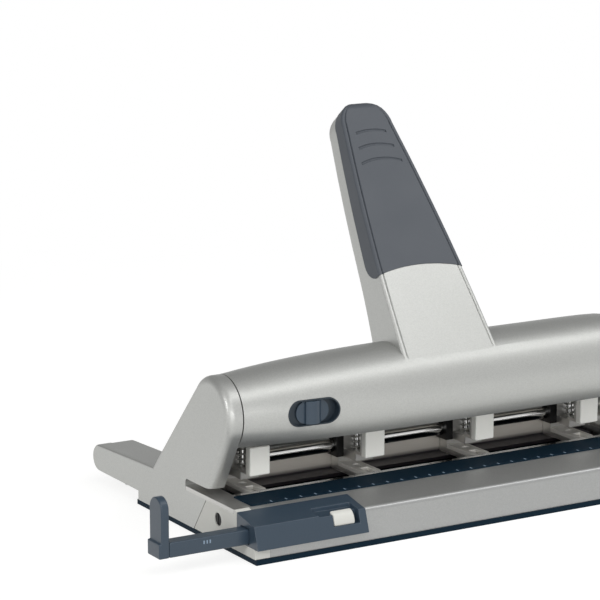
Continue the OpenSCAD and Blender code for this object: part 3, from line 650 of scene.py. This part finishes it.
class PUNCH_OT_stage(bpy.types.Operator):
    """Floor, soft studio light and the camera"""

    bl_idname = "punch.stage"
    bl_label = "Stage"

    def execute(self, context):
        settings = context.scene.punch_stage
        bpy.ops.object.select_all(action="DESELECT")
        bpy.ops.mesh.primitive_plane_add(size=settings.floor_size, location=(0, 0, 0))
        floor = context.object
        floor.name = "floor"
        floor.data.materials.append(self.floor_finish(settings.floor))
        self.light_world(context.scene)
        for box in SOFTBOXES:
            softbox(**box)
        data = bpy.data.cameras.new("camera")
        data.lens = settings.lens
        data.sensor_width = SENSOR_MM
        data.clip_end = SIGHT
        camera = bpy.data.objects.new("camera", data)
        context.scene.collection.objects.link(camera)
        camera.location = settings.place
        camera.rotation_euler = settings.turn
        context.scene.camera = camera
        context.scene.view_settings.view_transform = "Standard"
        return {"FINISHED"}

    def floor_finish(self, colour):
        """Matt floor that looks white where no shadow falls, without more light on the punch."""
        material = bpy.data.materials.new("studio_floor")
        material.use_nodes = True
        tree = material.node_tree
        tree.nodes.clear()
        place = add_node(tree, "ShaderNodeTexCoord").outputs["Object"]
        away = add_node(tree, "ShaderNodeVectorMath", {"operation": "LENGTH"}, {0: place}).outputs["Value"]
        far = ramp(tree, away, FLOOR_NEAR, FLOOR_FAR)
        path = add_node(tree, "ShaderNodeLightPath").outputs
        seen = reckon(tree, "MAXIMUM", path["Is Camera Ray"], path["Is Glossy Ray"])
        seen = reckon(tree, "MAXIMUM", seen, path["Is Transmission Ray"])
        lift = reckon(tree, "MULTIPLY", seen, FLOOR_GLOW)
        glow = add_node(tree, "ShaderNodeEmission", inputs={"Strength": lift}).outputs[0]
        matt = add_node(tree, "ShaderNodeBsdfDiffuse", inputs={"Color": colour}).outputs[0]
        near = add_node(tree, "ShaderNodeAddShader", inputs={0: matt, 1: glow}).outputs[0]
        white = add_node(tree, "ShaderNodeEmission", inputs={"Strength": 1.0}).outputs[0]
        share = reckon(tree, "MULTIPLY", far, seen)
        both = add_node(tree, "ShaderNodeMixShader", inputs={0: share, 1: near, 2: white}).outputs[0]
        add_node(tree, "ShaderNodeOutputMaterial", inputs={"Surface": both})
        return material

    def light_world(self, scene):
        """World that is bright in front and low behind the punch, and dim high up behind it."""
        world = bpy.data.worlds.new("studio")
        scene.world = world
        world.use_nodes = True
        tree = world.node_tree
        tree.nodes.clear()
        way = add_node(tree, "ShaderNodeTexCoord").outputs["Generated"]
        along = add_node(tree, "ShaderNodeSeparateXYZ", inputs={0: way}).outputs
        back = ramp(tree, along["Z"], SKY_LOW, SKY_HIGH, SKY_BACK_LOW, SKY_BACK_HIGH)
        behind = ramp(tree, along["Y"], -SKY_TURN, SKY_TURN)
        level = add_node(tree, "ShaderNodeMix", inputs={0: behind, 2: SKY_FRONT, 3: back}).outputs[0]
        sky = add_node(tree, "ShaderNodeBackground", inputs={
            "Color": (1, 1, 1, 1), "Strength": level}).outputs[0]
        add_node(tree, "ShaderNodeOutputWorld", inputs={"Surface": sky})


class PUNCH_PT_panel(bpy.types.Panel):
    """Sidebar panel with the pieces, their colours and their sizes"""

    bl_idname = "PUNCH_PT_panel"
    bl_label = "Adjustable Hole Punch"
    bl_space_type = "VIEW_3D"
    bl_region_type = "UI"
    bl_category = "Punch"

    def draw(self, context):
        for group in (context.scene.punch_colours, context.scene.punch_sizes, context.scene.punch_stage):
            box = self.layout.box()
            for key in group.bl_rna.properties.keys():
                if key not in ("rna_type", "name"):
                    box.prop(group, key)
        for operator in OPERATORS:
            self.layout.operator(operator.bl_idname)


GROUPS = {"punch_colours": PunchColours, "punch_sizes": PunchSizes, "punch_stage": PunchStage}
OPERATORS = (PUNCH_OT_shells, PUNCH_OT_arm_roots, PUNCH_OT_grip, PUNCH_OT_moulded, PUNCH_OT_pressings,
             PUNCH_OT_springs, PUNCH_OT_marks, PUNCH_OT_finishes, PUNCH_OT_stage)


def register():
    """Register the classes and hang the property groups on the scene."""
    for cls in (*GROUPS.values(), *OPERATORS, PUNCH_PT_panel):
        bpy.utils.register_class(cls)
    for name, group in GROUPS.items():
        setattr(bpy.types.Scene, name, bpy.props.PointerProperty(type=group))


def unregister():
    """Take the property groups and the classes away again."""
    for name in GROUPS:
        delattr(bpy.types.Scene, name)
    for cls in reversed((*GROUPS.values(), *OPERATORS, PUNCH_PT_panel)):
        bpy.utils.unregister_class(cls)


def main():
    """Make every piece, the finishes and the stage."""
    register()
    bpy.ops.punch.shells()
    bpy.ops.punch.arm_roots()
    bpy.ops.punch.grip()
    bpy.ops.punch.moulded()
    bpy.ops.punch.pressings()
    bpy.ops.punch.springs()
    bpy.ops.punch.marks()
    bpy.ops.punch.finishes()
    bpy.ops.punch.stage()


if __name__ == "__main__":
    main()
